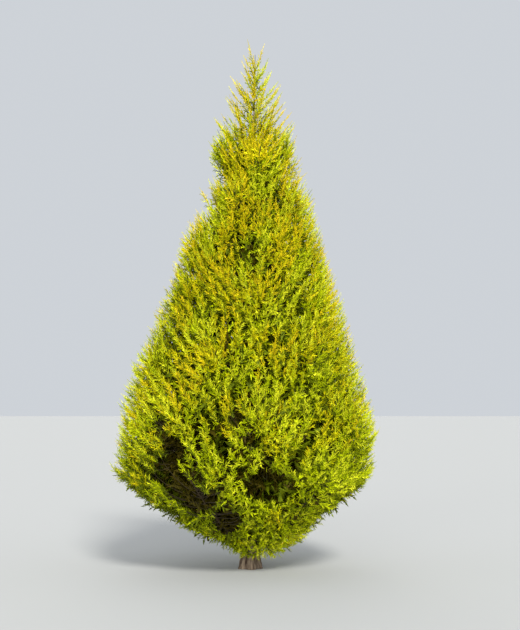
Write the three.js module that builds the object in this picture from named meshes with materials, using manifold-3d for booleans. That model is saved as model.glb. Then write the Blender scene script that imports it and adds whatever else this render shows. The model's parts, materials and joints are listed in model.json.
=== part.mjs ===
// A golden cypress, the whole tree, rooted in the ground.
// Millimetres, +Z up. The origin is the middle of the trunk's flat cut at ground level.
// The usual view looks along +Y, with +X to the right.
// One trunk runs up to the leader. Tiers of boughs leave it, rising and bending upwards, and each
// carries one mass of foliage: a stem, a slim core round it, twigs, and toothed sprays on the twigs.

import * as THREE from "three";
import { mergeVertices } from "three/addons/utils/BufferGeometryUtils.js";
import Module from "manifold-3d";

const wasm = await Module();
wasm.setup();
const { Manifold: Solid, Mesh: SolidMesh } = wasm;

// Driving dimensions

const TREE_HEIGHT = 5220;
const LOWEST_LEAF = 110;

// [height, radius] of the crown's outline, round the trunk.
const CROWN_OUTLINE = [
  [110, 240], [300, 600], [550, 920], [760, 1150], [960, 1330], [1300, 1310], [1650, 1210],
  [2200, 1060], [2900, 820], [3450, 610], [3800, 490], [4250, 460], [4500, 370], [4800, 228],
  [5060, 125], [5220, 62],
];

// [height, share] by which the crown is fuller on its right, +X. A minus sign means fuller on the left.
const FULLER_RIGHT = [[400, -0.09], [1300, -0.04], [2100, -0.06], [3100, -0.03], [3700, 0.08], [4200, 0.0]];

// Open pockets among the boughs, where the shaded inside of the crown shows.
const POCKETS = [
  { x: -760, y: -560, z: 690, radius: 235 },
  { x: 190, y: -1010, z: 800, radius: 150 },
  { x: -820, y: -760, z: 1180, radius: 110 },
  { x: -160, y: -1090, z: 1420, radius: 105 },
  { x: 40, y: -1140, z: 1030, radius: 85 },
  { x: -40, y: -700, z: 3130, radius: 100 },
];

const TRUNK_TOP = 4600;
const TRUNK_SIDES = 12;
// [height, radius] of the trunk.
const TRUNK_TAPER = [[0, 122], [70, 103], [200, 86], [420, 77], [900, 70], [2000, 54], [3200, 34], [4200, 16], [4600, 10]];
const TRUNK_LEAN = 42;
const TRUNK_SWAY = 11;
const ROOT_LOBES = 5;
const ROOT_LOBE_DEPTH = 0.13;
const ROOT_FLARE_HEIGHT = 190;

// Tiers of boughs, from the ground up: how many stand round the trunk, the direction of the first,
// the height where they leave the trunk, the height of their tips, the share of a limb that is bare
// bough before its foliage starts, how soon it rises, and how many twigs its mass has.
// A tier with no bare share meets the trunk with its masses' own stems.
const TIERS = [
  { name: "skirt", count: 6, turn: 188, root: 190, tip: 960, bare: 0.22, rise: 0.36, twigs: 10 },
  { name: "low", count: 6, turn: 219, root: 600, tip: 1520, bare: 0.32, rise: 0.3, twigs: 10 },
  { name: "belly", count: 6, turn: 187, root: 1160, tip: 2110, bare: 0.3, rise: 0.32, twigs: 10 },
  { name: "waist", count: 5, turn: 196, root: 1780, tip: 2720, bare: 0, rise: 0.34, twigs: 11 },
  { name: "shoulder", count: 4, turn: 200, root: 2440, tip: 3260, bare: 0, rise: 0.34, twigs: 10 },
  { name: "nape", count: 4, turn: 245, root: 3030, tip: 3770, bare: 0, rise: 0.34, twigs: 9 },
  { name: "neck", count: 4, turn: 184, root: 3560, tip: 4220, bare: 0, rise: 0.34, twigs: 8 },
  { name: "crest", count: 4, turn: 227, root: 4000, tip: 4590, bare: 0, rise: 0.34, twigs: 6 },
];
const TURN_JITTER = 7;
const TIP_INSET = 0.9;
const BEND_OUT = 0.56;

const BOUGH_ROOT_RADIUS = 27;
const BOUGH_TIP_RADIUS = 17;
const BOUGH_SIDES = 5;
const BOUGH_RINGS = 3;
const STEM_RADIUS = 13;
const STEM_TIP_RADIUS = 3.5;
const STEM_END = 0.24;

const CORE_SIDES = 6;
const CORE_PLACES = [0.04, 0.3, 0.6, 0.85];
const CORE_FULLNESS = [0.75, 1, 1, 0.9];
const CORE_END = 0.98;
const CORE_SHARE_LOW = 0.93;
const CORE_SHARE_HIGH = 0.68;
const CORE_DEPTH = 60;
const CORE_WIDEST = 560;

const TWIG_TRIES = 90;
const TWIG_RADIUS = 7;
const TWIG_FIRST = 0.22;
const TWIG_LAST = 0.97;
const TWIG_FAN = 125;
const TWIG_DEPTH = 330;
// How far along its twig a spray's root is, as a share of the core's radius there.
const SPRAY_ROOT = 0.72;
const TWIG_TIP = 0.85;
// Sprays at the end of a mass: how far along its limb they root, and how far to one side each leans.
const TIP_ROOT = 0.86;
const TIP_LEANS = [-0.42, 0.36];
const TIP_RISE = 0.45;
const LEADER_SHOOTS = 12;

const SPRAY_LONGEST = 520;
const SPRAY_SHORTEST = 190;
const SPRAY_WIDTH = 0.4;
const SPRAY_THICKNESS = 0.05;
const SPRAY_TWIST = 50;
// A spray heads mostly along its limb, then outwards, then up.
const SPRAY_ALONG = 0.75;
const SPRAY_OUT = 0.62;
const SPRAY_UP = 0.25;
// A spray's toothed outline: shares of its length along, and of half its width across.
const SPRAY_OUTLINE = [[0, 0], [0.5, -1], [0.57, -0.45], [1, 0], [0.74, 0.4], [0.66, 1]];
const SPRAY_RIDGE = 0.55;

const TOUCH_GAP = 0.3;
const CELL_GAP = 22;
const LIMB_GAP = 34;
const STEP = 20;
const AXIS_STEPS = 10;
const GOLDEN_ANGLE = 137.508;
const GOLDEN_SHARE = 0.618034;
// The angle in a limb's frame that faces out of the crown.
const OUTWARDS = 270;
const PLASTIC_SHARE = 0.754878;
const WELD = 1e-3;
const SLIVERS = [3, 4, 2, 6, 1];
const UP = new THREE.Vector3(0, 0, 1);

// Small helpers

function radians(degrees) {
  return THREE.MathUtils.degToRad(degrees);
}

function seeded(seed) {
  let state = seed >>> 0;
  return () => {
    state = (state + 0x6d2b79f5) >>> 0;
    let mixed = Math.imul(state ^ (state >>> 15), state | 1);
    mixed ^= mixed + Math.imul(mixed ^ (mixed >>> 7), mixed | 61);
    return ((mixed ^ (mixed >>> 14)) >>> 0) / 4294967296;
  };
}

function fromPairs(pairs, at) {
  if (at <= pairs[0][0]) return pairs[0][1];
  for (let i = 1; i < pairs.length; i++) {
    const [low, lowValue] = pairs[i - 1];
    const [high, highValue] = pairs[i];
    if (at <= high) return THREE.MathUtils.lerp(lowValue, highValue, (at - low) / (high - low));
  }
  return pairs.at(-1)[1];
}

function trunkAxis(height) {
  const x = TRUNK_LEAN * (height / TREE_HEIGHT) + TRUNK_SWAY * Math.sin(height / 700);
  const y = TRUNK_SWAY * (Math.sin(height / 900 + 1) - Math.sin(1));
  return new THREE.Vector3(x, y, height);
}

function outlineRadius(height, azimuth) {
  const fuller = fromPairs(FULLER_RIGHT, height);
  return fromPairs(CROWN_OUTLINE, height) * (1 + fuller * Math.cos(azimuth));
}

// Solids

// A closed solid through rings of points. A ring of one point is a sharp end, and a longer end ring is
// closed by a flat fan round its middle.
function loft(rings) {
  const points = rings.flat();
  const triangles = [];
  let first = 0;
  const addCap = (start, ring, inwards) => {
    const middle = points.length;
    points.push(ring.reduce((sum, p) => sum.add(p), new THREE.Vector3()).divideScalar(ring.length));
    for (let i = 0; i < ring.length; i++) {
      const next = (i + 1) % ring.length;
      triangles.push(...(inwards ? [middle, start + next, start + i] : [middle, start + i, start + next]));
    }
  };
  if (rings[0].length > 1) addCap(0, rings[0], true);
  for (let r = 1; r < rings.length; r++) {
    const lower = rings[r - 1].length;
    const upper = rings[r].length;
    const second = first + lower;
    const sides = Math.max(lower, upper);
    for (let i = 0; i < sides; i++) {
      const next = (i + 1) % sides;
      if (upper === 1) triangles.push(first + i, first + next, second);
      else if (lower === 1) triangles.push(first, second + next, second + i);
      else triangles.push(first + i, first + next, second + i, second + i, first + next, second + next);
    }
    first = second;
  }
  if (rings.at(-1).length > 1) addCap(first, rings.at(-1), false);
  return solidOf(points, triangles);
}

function solidOf(points, triangles) {
  const geometry = new THREE.BufferGeometry().setFromPoints(points);
  geometry.setIndex(triangles);
  const merged = mergeVertices(geometry, WELD);
  return new Solid(new SolidMesh({
    numProp: 3,
    vertProperties: merged.attributes.position.array,
    triVerts: new Uint32Array(merged.index.array),
  }));
}

function ringAround(centre, normal, binormal, sides, radiusAt) {
  return Array.from({ length: sides }, (_, i) => {
    const angle = (2 * Math.PI * i) / sides;
    const radius = radiusAt(angle);
    return centre.clone()
      .addScaledVector(normal, radius * Math.cos(angle))
      .addScaledVector(binormal, radius * Math.sin(angle));
  });
}

function trunkRings(extra) {
  const heights = [0, 35, 90, 160, 260, 420, 900, 1450, 2000, 2600, 3200, 3900, TRUNK_TOP];
  const phase = radians(20);
  const east = new THREE.Vector3(1, 0, 0);
  const north = new THREE.Vector3(0, 1, 0);
  return heights.map((height) => {
    const lobe = ROOT_LOBE_DEPTH * Math.exp(-height / ROOT_FLARE_HEIGHT);
    return ringAround(trunkAxis(height), east, north, TRUNK_SIDES, (angle) =>
      fromPairs(TRUNK_TAPER, height) * (1 + lobe * Math.cos(ROOT_LOBES * angle + phase)) + extra);
  });
}

// Limbs: the line that each bough and its mass follow

class Limb {
  constructor(tier, index, seed) {
    this.random = seeded(seed);
    this.name = `${tier.name}_${index + 1}`;
    this.bare = tier.bare;
    this.twigs = tier.twigs;
    const jitter = (this.random() * 2 - 1) * TURN_JITTER;
    this.azimuth = radians(tier.turn + (360 * index) / tier.count + jitter);
    const tipHeight = tier.tip * (1 + (this.random() * 2 - 1) * 0.02);
    const reach = outlineRadius(tipHeight, this.azimuth) * TIP_INSET;
    const out = new THREE.Vector3(Math.cos(this.azimuth), Math.sin(this.azimuth), 0);
    const foot = trunkAxis(tier.root);
    const tip = trunkAxis(tipHeight).addScaledVector(out, reach);
    const bend = foot.clone().addScaledVector(out, reach * BEND_OUT);
    bend.z += (tipHeight - tier.root) * tier.rise;
    this.curve = new THREE.QuadraticBezierCurve3(foot, bend, tip);
    this.length = this.curve.getLength();
    this.points = this.curve.getPoints(AXIS_STEPS);
    this.out = out;
    this.size = THREE.MathUtils.mapLinear(tipHeight, 900, 4520, 1, 0.6);
    this.coreShare = THREE.MathUtils.mapLinear(tipHeight, 900, 4520, CORE_SHARE_LOW, CORE_SHARE_HIGH);
  }

  frameAt(share) {
    const tangent = this.curve.getTangent(share);
    const normal = new THREE.Vector3().crossVectors(UP, this.out).normalize();
    const binormal = new THREE.Vector3().crossVectors(tangent, normal).normalize();
    return { point: this.curve.getPoint(share), tangent, normal, binormal };
  }

  distance(point) {
    return distanceToLine(point, this.points);
  }
}

function distanceToLine(point, line) {
  let nearest = Infinity;
  const segment = new THREE.Line3();
  const foot = new THREE.Vector3();
  for (let i = 1; i < line.length; i++) {
    segment.set(line[i - 1], line[i]).closestPointToPoint(point, true, foot);
    nearest = Math.min(nearest, foot.distanceTo(point));
  }
  return nearest;
}

const limbs = TIERS.flatMap((tier, row) =>
  Array.from({ length: tier.count }, (_, i) => new Limb(tier, i, 1000 * (row + 1) + i)));

const leaderLine = [TRUNK_TOP, TREE_HEIGHT].map(trunkAxis);

// How deep a point lies under the crown's outline. It is below 0 outside.
function depthInCrown(point) {
  const axis = trunkAxis(point.z);
  const azimuth = Math.atan2(point.y - axis.y, point.x - axis.x);
  return outlineRadius(point.z, azimuth) - Math.hypot(point.x - axis.x, point.y - axis.y);
}

// Whether a point is in the space of one limb's mass: within the crown's outline, out of the pockets,
// nearer to its own limb than to any other, and clear of the trunk.
function isOwn(point, limb) {
  if (point.z < LOWEST_LEAF || point.z > TREE_HEIGHT) return false;
  if (depthInCrown(point) < 0) return false;
  const axis = trunkAxis(point.z);
  const fromTrunk = Math.hypot(point.x - axis.x, point.y - axis.y);
  if (limb && point.z < TRUNK_TOP && fromTrunk < fromPairs(TRUNK_TAPER, point.z) + LIMB_GAP) return false;
  if (POCKETS.some((p) => Math.hypot(point.x - p.x, point.y - p.y, point.z - p.z) < p.radius)) return false;
  const home = limb ? limb.distance(point) : distanceToLine(point, leaderLine);
  if (limb && distanceToLine(point, leaderLine) < home + CELL_GAP) return false;
  return limbs.every((other) => other === limb || other.distance(point) > Math.max(home + CELL_GAP, LIMB_GAP));
}

// How far one may go from a point before leaving the limb's own space, or coming nearer to the
// crown's outline than a depth.
function reachOf(from, direction, limit, limb, depth = 0) {
  const point = new THREE.Vector3();
  let reach = 0;
  while (reach + STEP <= limit) {
    point.copy(from).addScaledVector(direction, reach + STEP);
    if (depthInCrown(point) < depth || !isOwn(point, limb)) break;
    reach += STEP;
  }
  return reach;
}

// Foliage

// A spray of scale leaves: a toothed blade with a ridge on both faces.
function sprayPoints(foot, direction, across, length) {
  const width = length * SPRAY_WIDTH * 0.5;
  const thick = new THREE.Vector3().crossVectors(direction, across).normalize();
  const outline = SPRAY_OUTLINE.map(([along, side]) => foot.clone()
    .addScaledVector(direction, along * length)
    .addScaledVector(across, side * width));
  const ridge = [1, -1].map((side) => foot.clone()
    .addScaledVector(direction, SPRAY_RIDGE * length)
    .addScaledVector(thick, side * SPRAY_THICKNESS * 0.5 * length));
  return { outline, ridge };
}

function spray(foot, direction, across, length) {
  const { outline, ridge } = sprayPoints(foot, direction, across, length);
  return loft([[ridge[1]], outline, [ridge[0]]]);
}

// The longest spray that stays in its limb's space, or nothing where there is no room for one.
function fittedSpray(foot, direction, across, longest, limb) {
  for (let length = longest; length >= SPRAY_SHORTEST; length *= 0.85) {
    const { outline, ridge } = sprayPoints(foot, direction, across, length);
    const tips = [...outline.slice(1), ...ridge];
    if (tips.every((p) => isOwn(p, limb))) return spray(foot, direction, across, length);
  }
  return null;
}

// A twig is a slim three-sided spike.
function twig(from, to, radius) {
  const direction = to.clone().sub(from).normalize();
  const helper = Math.abs(direction.z) < 0.9 ? UP : new THREE.Vector3(1, 0, 0);
  const normal = new THREE.Vector3().crossVectors(direction, helper).normalize();
  const binormal = new THREE.Vector3().crossVectors(direction, normal).normalize();
  return loft([ringAround(from, normal, binormal, 3, () => radius), [to]]);
}

// A twig that leaves its limb to one side, and the spray that it carries clear of the core. The spray
// lies more or less along the crown's face.
function twigWithSpray(limb, share, angle) {
  const { point, tangent, normal, binormal } = limb.frameAt(share);
  const side = normal.multiplyScalar(Math.cos(angle)).addScaledVector(binormal, Math.sin(angle));
  const radius = coreRadius(limb, share, angle);
  const heading = tangent.multiplyScalar(SPRAY_ALONG)
    .addScaledVector(side, SPRAY_OUT)
    .addScaledVector(UP, SPRAY_UP)
    .normalize();
  const foot = point.clone().addScaledVector(side, SPRAY_ROOT * radius);
  const made = depthInCrown(foot) < TWIG_DEPTH && spreadSpray(foot, heading, side, limb);
  if (!made) return [];
  return [made, twig(point, point.clone().addScaledVector(side, TWIG_TIP * radius), TWIG_RADIUS)];
}

// A spray of a length and a twist of its own, facing out as far as its twist lets it.
function spreadSpray(foot, heading, facing, limb) {
  const twist = (limb.random() * 2 - 1) * radians(SPRAY_TWIST);
  const across = new THREE.Vector3().crossVectors(heading, facing).normalize().applyAxisAngle(heading, twist);
  return fittedSpray(foot, heading, across, SPRAY_LONGEST * limb.size * (0.8 + 0.4 * limb.random()), limb);
}

// The sprays in which a mass ends, rising past the end of its core.
function tipSprays(limb) {
  const { point, tangent, normal } = limb.frameAt(THREE.MathUtils.lerp(limb.bare, 1, TIP_ROOT));
  return TIP_LEANS.flatMap((lean) => {
    const heading = tangent.clone().addScaledVector(normal, lean).addScaledVector(UP, TIP_RISE).normalize();
    return spreadSpray(point, heading, limb.out, limb) ?? [];
  });
}

function coreRadius(limb, share, angle) {
  const { point, normal, binormal } = limb.frameAt(share);
  const side = normal.multiplyScalar(Math.cos(angle)).addScaledVector(binormal, Math.sin(angle));
  const room = reachOf(point, side, CORE_WIDEST, limb, CORE_DEPTH * limb.size);
  return Math.max(room * limb.coreShare, STEM_RADIUS * 1.5);
}

function core(limb) {
  const start = limb.bare + (1 - limb.bare) * 0.05;
  const place = (share) => THREE.MathUtils.lerp(start, CORE_END, share);
  const rings = CORE_PLACES.map((share, i) => {
    const at = place(share);
    const { point, normal, binormal } = limb.frameAt(at);
    return ringAround(point, normal, binormal, CORE_SIDES, (angle) => CORE_FULLNESS[i] * coreRadius(limb, at, angle));
  });
  const first = limb.bare > 0 ? place(0) : place(0.06);
  return loft([[limb.curve.getPoint(first)], ...rings, [limb.curve.getPoint(place(1))]]);
}

// A stem that tapers along its limb into the core, from just past the bough's end, or from inside
// the trunk.
function stem(limb) {
  const rings = [0, STEM_END].map((share) => {
    const at = THREE.MathUtils.lerp(limb.bare, 1, share);
    const { point, tangent, normal, binormal } = limb.frameAt(at);
    if (share === 0) point.addScaledVector(tangent, limb.bare > 0 ? TOUCH_GAP : 0);
    return ringAround(point, normal, binormal, 3, () => (share === 0 ? STEM_RADIUS : STEM_TIP_RADIUS));
  });
  return loft(rings);
}

function mass(limb) {
  const pieces = [stem(limb), core(limb), ...tipSprays(limb)];
  let made = 0;
  for (let i = 0; i < TWIG_TRIES && made < limb.twigs; i++) {
    const order = THREE.MathUtils.lerp(TWIG_FIRST, TWIG_LAST, (i * PLASTIC_SHARE + 0.5) % 1);
    const share = THREE.MathUtils.lerp(limb.bare, 1, order);
    const fan = TWIG_FAN * (2 * ((i * GOLDEN_SHARE + 0.5) % 1) - 1);
    const grown = twigWithSpray(limb, share, radians(OUTWARDS + fan));
    if (grown.length) made += 1;
    pieces.push(...grown);
  }
  return fused(pieces);
}

// The leader: the top shoot above the trunk, with bare sky between its side shoots.
function leader() {
  const random = seeded(77);
  const [foot, top] = leaderLine;
  const start = foot.clone().setZ(foot.z + TOUCH_GAP);
  const pieces = [twig(start, top.clone().setZ(TREE_HEIGHT - 60), TRUNK_TAPER.at(-1)[1])];
  for (let i = 0; i < LEADER_SHOOTS; i++) {
    const share = 0.02 + (0.84 * i) / LEADER_SHOOTS;
    const from = foot.clone().lerp(top, share);
    const angle = radians(i * GOLDEN_ANGLE + 20);
    const lift = radians(THREE.MathUtils.lerp(38, 66, share));
    const direction = new THREE.Vector3(Math.cos(angle) * Math.cos(lift), Math.sin(angle) * Math.cos(lift), Math.sin(lift));
    const room = reachOf(from.clone().addScaledVector(direction, STEP), direction, 340, null);
    const length = Math.max(room, 60);
    const across = new THREE.Vector3().crossVectors(direction, UP).normalize().applyAxisAngle(direction, random() * Math.PI);
    pieces.push(spray(from, direction, across, length));
  }
  const tips = [[-58, 0, 0], [88, 10, -45]];
  for (const [x, y, z] of tips) {
    const from = foot.clone().lerp(top, 0.74);
    const tip = new THREE.Vector3(top.x + x, top.y + y, TREE_HEIGHT + z);
    const direction = tip.clone().sub(from);
    const length = direction.length();
    direction.normalize();
    pieces.push(spray(from, direction, new THREE.Vector3(0, 1, 0).cross(direction).normalize(), length));
  }
  return fused(pieces);
}

function bough(limb) {
  const rings = Array.from({ length: BOUGH_RINGS }, (_, i) => {
    const share = i / (BOUGH_RINGS - 1);
    const { point, normal, binormal } = limb.frameAt(share * limb.bare);
    const radius = THREE.MathUtils.lerp(BOUGH_ROOT_RADIUS, BOUGH_TIP_RADIUS, share);
    return ringAround(point, normal, binormal, BOUGH_SIDES, () => radius);
  });
  return loft(rings);
}

// Assembly

const BARK = { color: 0x6b5642, roughness: 0.95, metalness: 0 };
const LEAF_TONES = [0xb9b41e, 0xa9ab1c, 0xc4bc24, 0x98a01a];

// The largest closed shell of a solid: scraps that float free and hollows sealed inside are dropped.
function wholePiece(solid) {
  const parts = solid.decompose();
  return parts.reduce((best, part) => (part.volume() > best.volume() ? part : best));
}

// Whether every edge still has just two faces once the vertices are rounded to the welding distance.
function isSound(solid) {
  const { vertProperties, triVerts } = solid.getMesh();
  const seen = new Map();
  const corner = (v) => [0, 1, 2].map((k) => Math.round(vertProperties[3 * v + k] / WELD)).join();
  for (let t = 0; t < triVerts.length; t += 3) {
    const corners = [0, 1, 2].map((k) => corner(triVerts[t + k]));
    if (new Set(corners).size < 3) continue;
    corners.forEach((from, k) => {
      const edge = [from, corners[(k + 1) % 3]].sort().join(" ");
      seen.set(edge, (seen.get(edge) ?? 0) + 1);
    });
  }
  return [...seen.values()].every((faces) => faces === 2);
}

// Pieces fused into one solid, without the slivers that fusing leaves.
function fused(pieces) {
  const whole = wholePiece(Solid.union(pieces));
  const tidied = SLIVERS.map((sliver) => whole.simplify(sliver));
  return tidied.find(isSound) ?? whole;
}

function meshOf(name, solid, finish, pivot) {
  const made = wholePiece(solid).getMesh();
  const geometry = new THREE.BufferGeometry();
  const places = Float32Array.from(made.vertProperties);
  geometry.setAttribute("position", new THREE.BufferAttribute(places, 3));
  geometry.setIndex(new THREE.BufferAttribute(Uint32Array.from(made.triVerts), 1));
  geometry.translate(-pivot.x, -pivot.y, -pivot.z);
  geometry.computeVertexNormals();
  const mesh = new THREE.Mesh(geometry, new THREE.MeshStandardMaterial(finish));
  mesh.name = name;
  mesh.position.copy(pivot);
  return mesh;
}

const tree = new THREE.Group();
const grownTrunk = loft(trunkRings(TOUCH_GAP));
tree.add(meshOf("trunk", loft(trunkRings(0)), BARK, new THREE.Vector3()));

limbs.forEach((limb, i) => {
  const foliage = { color: LEAF_TONES[i % LEAF_TONES.length], roughness: 0.8, metalness: 0 };
  const pivot = limb.curve.getPoint(limb.bare);
  if (limb.bare > 0) {
    tree.add(meshOf(`bough_${limb.name}`, bough(limb).subtract(grownTrunk), BARK, limb.curve.getPoint(0)));
    tree.add(meshOf(`foliage_${limb.name}`, mass(limb), foliage, pivot));
  } else {
    tree.add(meshOf(`foliage_${limb.name}`, mass(limb).subtract(grownTrunk), foliage, pivot));
  }
});
tree.add(meshOf("foliage_leader", leader(), { color: LEAF_TONES[2], roughness: 0.8, metalness: 0 }, leaderLine[0]));

export default tree;
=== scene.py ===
"""The looks of a golden cypress, grown on its CAD frame.

Metres, +Z up, with the origin in the middle of the trunk's flat cut at ground level. The limbs follow
the rule of the part's source, and each of its masses is carried on to plumes: a curved twig set with
feathery sprays of scale leaves. Run as a script, it makes every piece, the stage and the camera.
"""

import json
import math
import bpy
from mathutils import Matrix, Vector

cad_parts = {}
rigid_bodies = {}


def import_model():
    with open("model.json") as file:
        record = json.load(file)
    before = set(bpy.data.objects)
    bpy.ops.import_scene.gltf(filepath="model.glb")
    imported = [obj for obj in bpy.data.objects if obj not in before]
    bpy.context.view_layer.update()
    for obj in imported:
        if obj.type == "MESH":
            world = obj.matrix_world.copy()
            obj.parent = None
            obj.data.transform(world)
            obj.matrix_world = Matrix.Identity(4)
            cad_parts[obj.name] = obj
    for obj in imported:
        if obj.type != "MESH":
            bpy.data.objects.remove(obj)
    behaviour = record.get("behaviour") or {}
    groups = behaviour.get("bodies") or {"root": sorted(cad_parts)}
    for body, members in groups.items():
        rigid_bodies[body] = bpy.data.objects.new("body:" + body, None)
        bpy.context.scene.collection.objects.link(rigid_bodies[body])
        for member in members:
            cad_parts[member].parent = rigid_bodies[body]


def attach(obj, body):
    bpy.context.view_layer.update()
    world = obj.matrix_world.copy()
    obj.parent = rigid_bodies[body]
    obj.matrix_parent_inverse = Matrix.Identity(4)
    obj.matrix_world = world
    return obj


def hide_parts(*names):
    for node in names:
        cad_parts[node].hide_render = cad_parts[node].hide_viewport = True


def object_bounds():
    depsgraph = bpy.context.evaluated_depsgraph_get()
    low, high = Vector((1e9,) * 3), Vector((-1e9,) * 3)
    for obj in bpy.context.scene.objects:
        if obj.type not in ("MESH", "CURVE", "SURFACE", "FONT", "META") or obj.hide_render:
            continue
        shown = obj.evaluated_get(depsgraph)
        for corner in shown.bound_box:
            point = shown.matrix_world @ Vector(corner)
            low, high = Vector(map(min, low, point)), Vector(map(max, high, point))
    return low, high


bl_info = {
    "name": "Golden cypress",
    "version": (1, 0, 0),
    "blender": (4, 5, 0),
    "location": "3D View > Sidebar > Cypress",
    "description": "Grows bark, twigs and sprays of scale leaves on a golden cypress",
    "category": "Add Mesh",
}

import bpy
import numpy as np
from bpy.props import FloatProperty, FloatVectorProperty, IntProperty, PointerProperty
from bpy.types import Operator, Panel, PropertyGroup
from mathutils import Matrix, Vector

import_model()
CAD_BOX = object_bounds()

# Crown, trunk and limbs, as in the part's source.

TREE_HEIGHT = 5.22
LOWEST_LEAF = 0.11

# [height, radius] of the crown's outline, round the trunk.
CROWN_OUTLINE = [
    (0.11, 0.24), (0.3, 0.6), (0.55, 0.92), (0.76, 1.15), (0.96, 1.33), (1.3, 1.31),
    (1.65, 1.21), (2.2, 1.06), (2.9, 0.82), (3.45, 0.61), (3.8, 0.49), (4.25, 0.46),
    (4.5, 0.37), (4.8, 0.228), (5.06, 0.125), (5.22, 0.062),
]
# [height, share] by which the crown is fuller towards +X.
FULLER_RIGHT = [(0.4, -0.09), (1.3, -0.04), (2.1, -0.06), (3.1, -0.03), (3.7, 0.08), (4.2, 0.0)]

# Open pockets among the boughs: x, y, z and radius.
POCKETS = [
    (-0.76, -0.56, 0.69, 0.235), (0.19, -1.01, 0.8, 0.15), (-0.82, -0.76, 1.18, 0.11),
    (-0.16, -1.09, 1.42, 0.105), (0.04, -1.14, 1.03, 0.085), (-0.04, -0.7, 3.13, 0.1),
]

# Hollows in the face of the foliage, in front of the pockets and beside them: x, y, z and radius.
HOLLOWS = [
    (-0.74, -0.58, 0.97, 0.12), (-0.62, -0.56, 0.86, 0.15), (-0.5, -0.52, 0.74, 0.13),
    (-0.69, -0.7, 1.2, 0.08), (-0.83, -0.6, 1.41, 0.045), (-0.21, -0.42, 0.52, 0.12),
    (0.12, -1.01, 0.85, 0.135), (0.26, -1.0, 0.84, 0.125), (-0.12, -1.02, 1.47, 0.05),
    (0.01, -1.08, 1.26, 0.05), (-0.03, -0.68, 3.14, 0.1),
]
# How each runs on towards the front, how far round it sprays are shaded, and how far old foliage shows.
HOLLOW_RUN = np.array([0, -0.4, 0.02])
HOLLOW_SHADE = 0.07
HOLLOW_VIEW = 0.2

TRUNK_TOP = 4.6
TRUNK_TAPER = [
    (0, 0.122), (0.07, 0.103), (0.2, 0.086), (0.42, 0.077), (0.9, 0.07), (2, 0.054),
    (3.2, 0.034), (4.2, 0.016), (4.6, 0.01),
]
TRUNK_LEAN = 0.042
TRUNK_SWAY = 0.011
ROOT_LOBES = 5
ROOT_LOBE_DEPTH = 0.13
ROOT_FLARE_HEIGHT = 0.19

# Tiers of boughs: name, count, direction of the first, height at the trunk, height of the tips,
# bare share and rise.
TIERS = [
    ("skirt", 6, 188, 0.19, 0.96, 0.22, 0.36),
    ("low", 6, 219, 0.6, 1.52, 0.32, 0.3),
    ("belly", 6, 187, 1.16, 2.11, 0.3, 0.32),
    ("waist", 5, 196, 1.78, 2.72, 0, 0.34),
    ("shoulder", 4, 200, 2.44, 3.26, 0, 0.34),
    ("nape", 4, 245, 3.03, 3.77, 0, 0.34),
    ("neck", 4, 184, 3.56, 4.22, 0, 0.34),
    ("crest", 4, 227, 4.0, 4.59, 0, 0.34),
]
TURN_JITTER = 7
TIP_INSET = 0.9
BEND_OUT = 0.56
BOUGH_ROOT_RADIUS = 0.027
BOUGH_TIP_RADIUS = 0.017
STEM_RADIUS = 0.019
STEM_TIP_RADIUS = 0.0035
CORE_DEPTH = 0.06
CORE_WIDEST = 0.56
STRIDE = 0.04
CELL_GAP = 0.022
LIMB_GAP = 0.034
AXIS_STEPS = 10
GOLDEN_ANGLE = 137.508
GOLDEN_SHARE = 0.618034
PLASTIC_SHARE = 0.754878
LEADER_SHOOTS = 42
TOP_LIMBS = ("neck_1", "crest_1", "crest_2", "crest_3", "crest_4")
UP = np.array([0.0, 0.0, 1.0])

# [height, left, right]: by how much the foliage comes out further than the masses to the left and right.
FACE_FILL = [
    (0.3, -0.18, 0.1), (0.41, -0.02, 0.05), (0.55, -0.12, 0), (0.72, -0.02, 0.03), (0.85, 0.03, 0.05),
    (1.15, 0, 0.01), (1.5, 0.02, 0.04), (1.95, 0.03, 0.04), (2.2, -0.03, 0.04), (2.6, -0.04, 0.05),
    (2.95, -0.03, 0.09), (3.15, 0.03, 0.13), (3.4, 0.02, 0.06), (3.65, 0, 0.06), (3.9, 0, 0),
]
# [height, depth]: how far it lies under the masses' outline, all round and at the front and back.
FACE_DEPTH = [(0.15, 0.07), (0.8, 0.06), (1.3, 0.0), (4.2, 0.0), (4.42, 0.05)]
FRONT_DEPTH = [(3.7, 0), (4.42, 0.1)]
FACE_TOP = 4.42

# Notches in the crown's face, with sky behind: height, direction and depth. Then how tall they are, and
# how wide in radians.
NOTCHES = [(3.95, 180, 0.22), (3.62, 186, 0.14)]
NOTCH_HEIGHT = 0.1
NOTCH_WIDTH = 0.75
# Plumes that stand apart on the outline: height, direction and radius of the tip, and how far along the
# limb they leave it.
LONE_PLUMES = [
    (4.1, 178, 0.4, 0.55), (4.02, 192, 0.41, 0.5), (3.72, 186, 0.5, 0.5), (4.28, 12, 0.42, 0.5),
    (2.62, 5, 0.9, 0.6),
]

# Where the shoots end that make the leader's outline to the left and right: x and z.
TOP_ENDS = [
    (-0.02, 5.3), (0.13, 5.24), (-0.06, 5.14), (0.17, 5.05), (-0.04, 5.0), (0.2, 4.94), (-0.13, 4.9),
    (-0.16, 4.86), (0.27, 4.87), (-0.2, 4.8), (0.29, 4.8), (0.32, 4.75), (-0.2, 4.73), (0.35, 4.68),
    (0.36, 4.61), (-0.22, 4.64), (-0.29, 4.53), (-0.36, 4.5), (0.43, 4.5), (0.46, 4.43), (-0.42, 4.28),
]

# The eye, its lens and the way it looks, worked out from the photograph's horizon and scale.
EYE = (0.1, -11.0, 1.53)
FRAME_WIDTH, FRAME_HEIGHT = 520, 630
FOCAL_PIXELS = 1100
HORIZON_PIXELS = 97  # below the middle
LOOK_UP = math.atan(HORIZON_PIXELS / FOCAL_PIXELS)
SENSOR = 36


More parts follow.
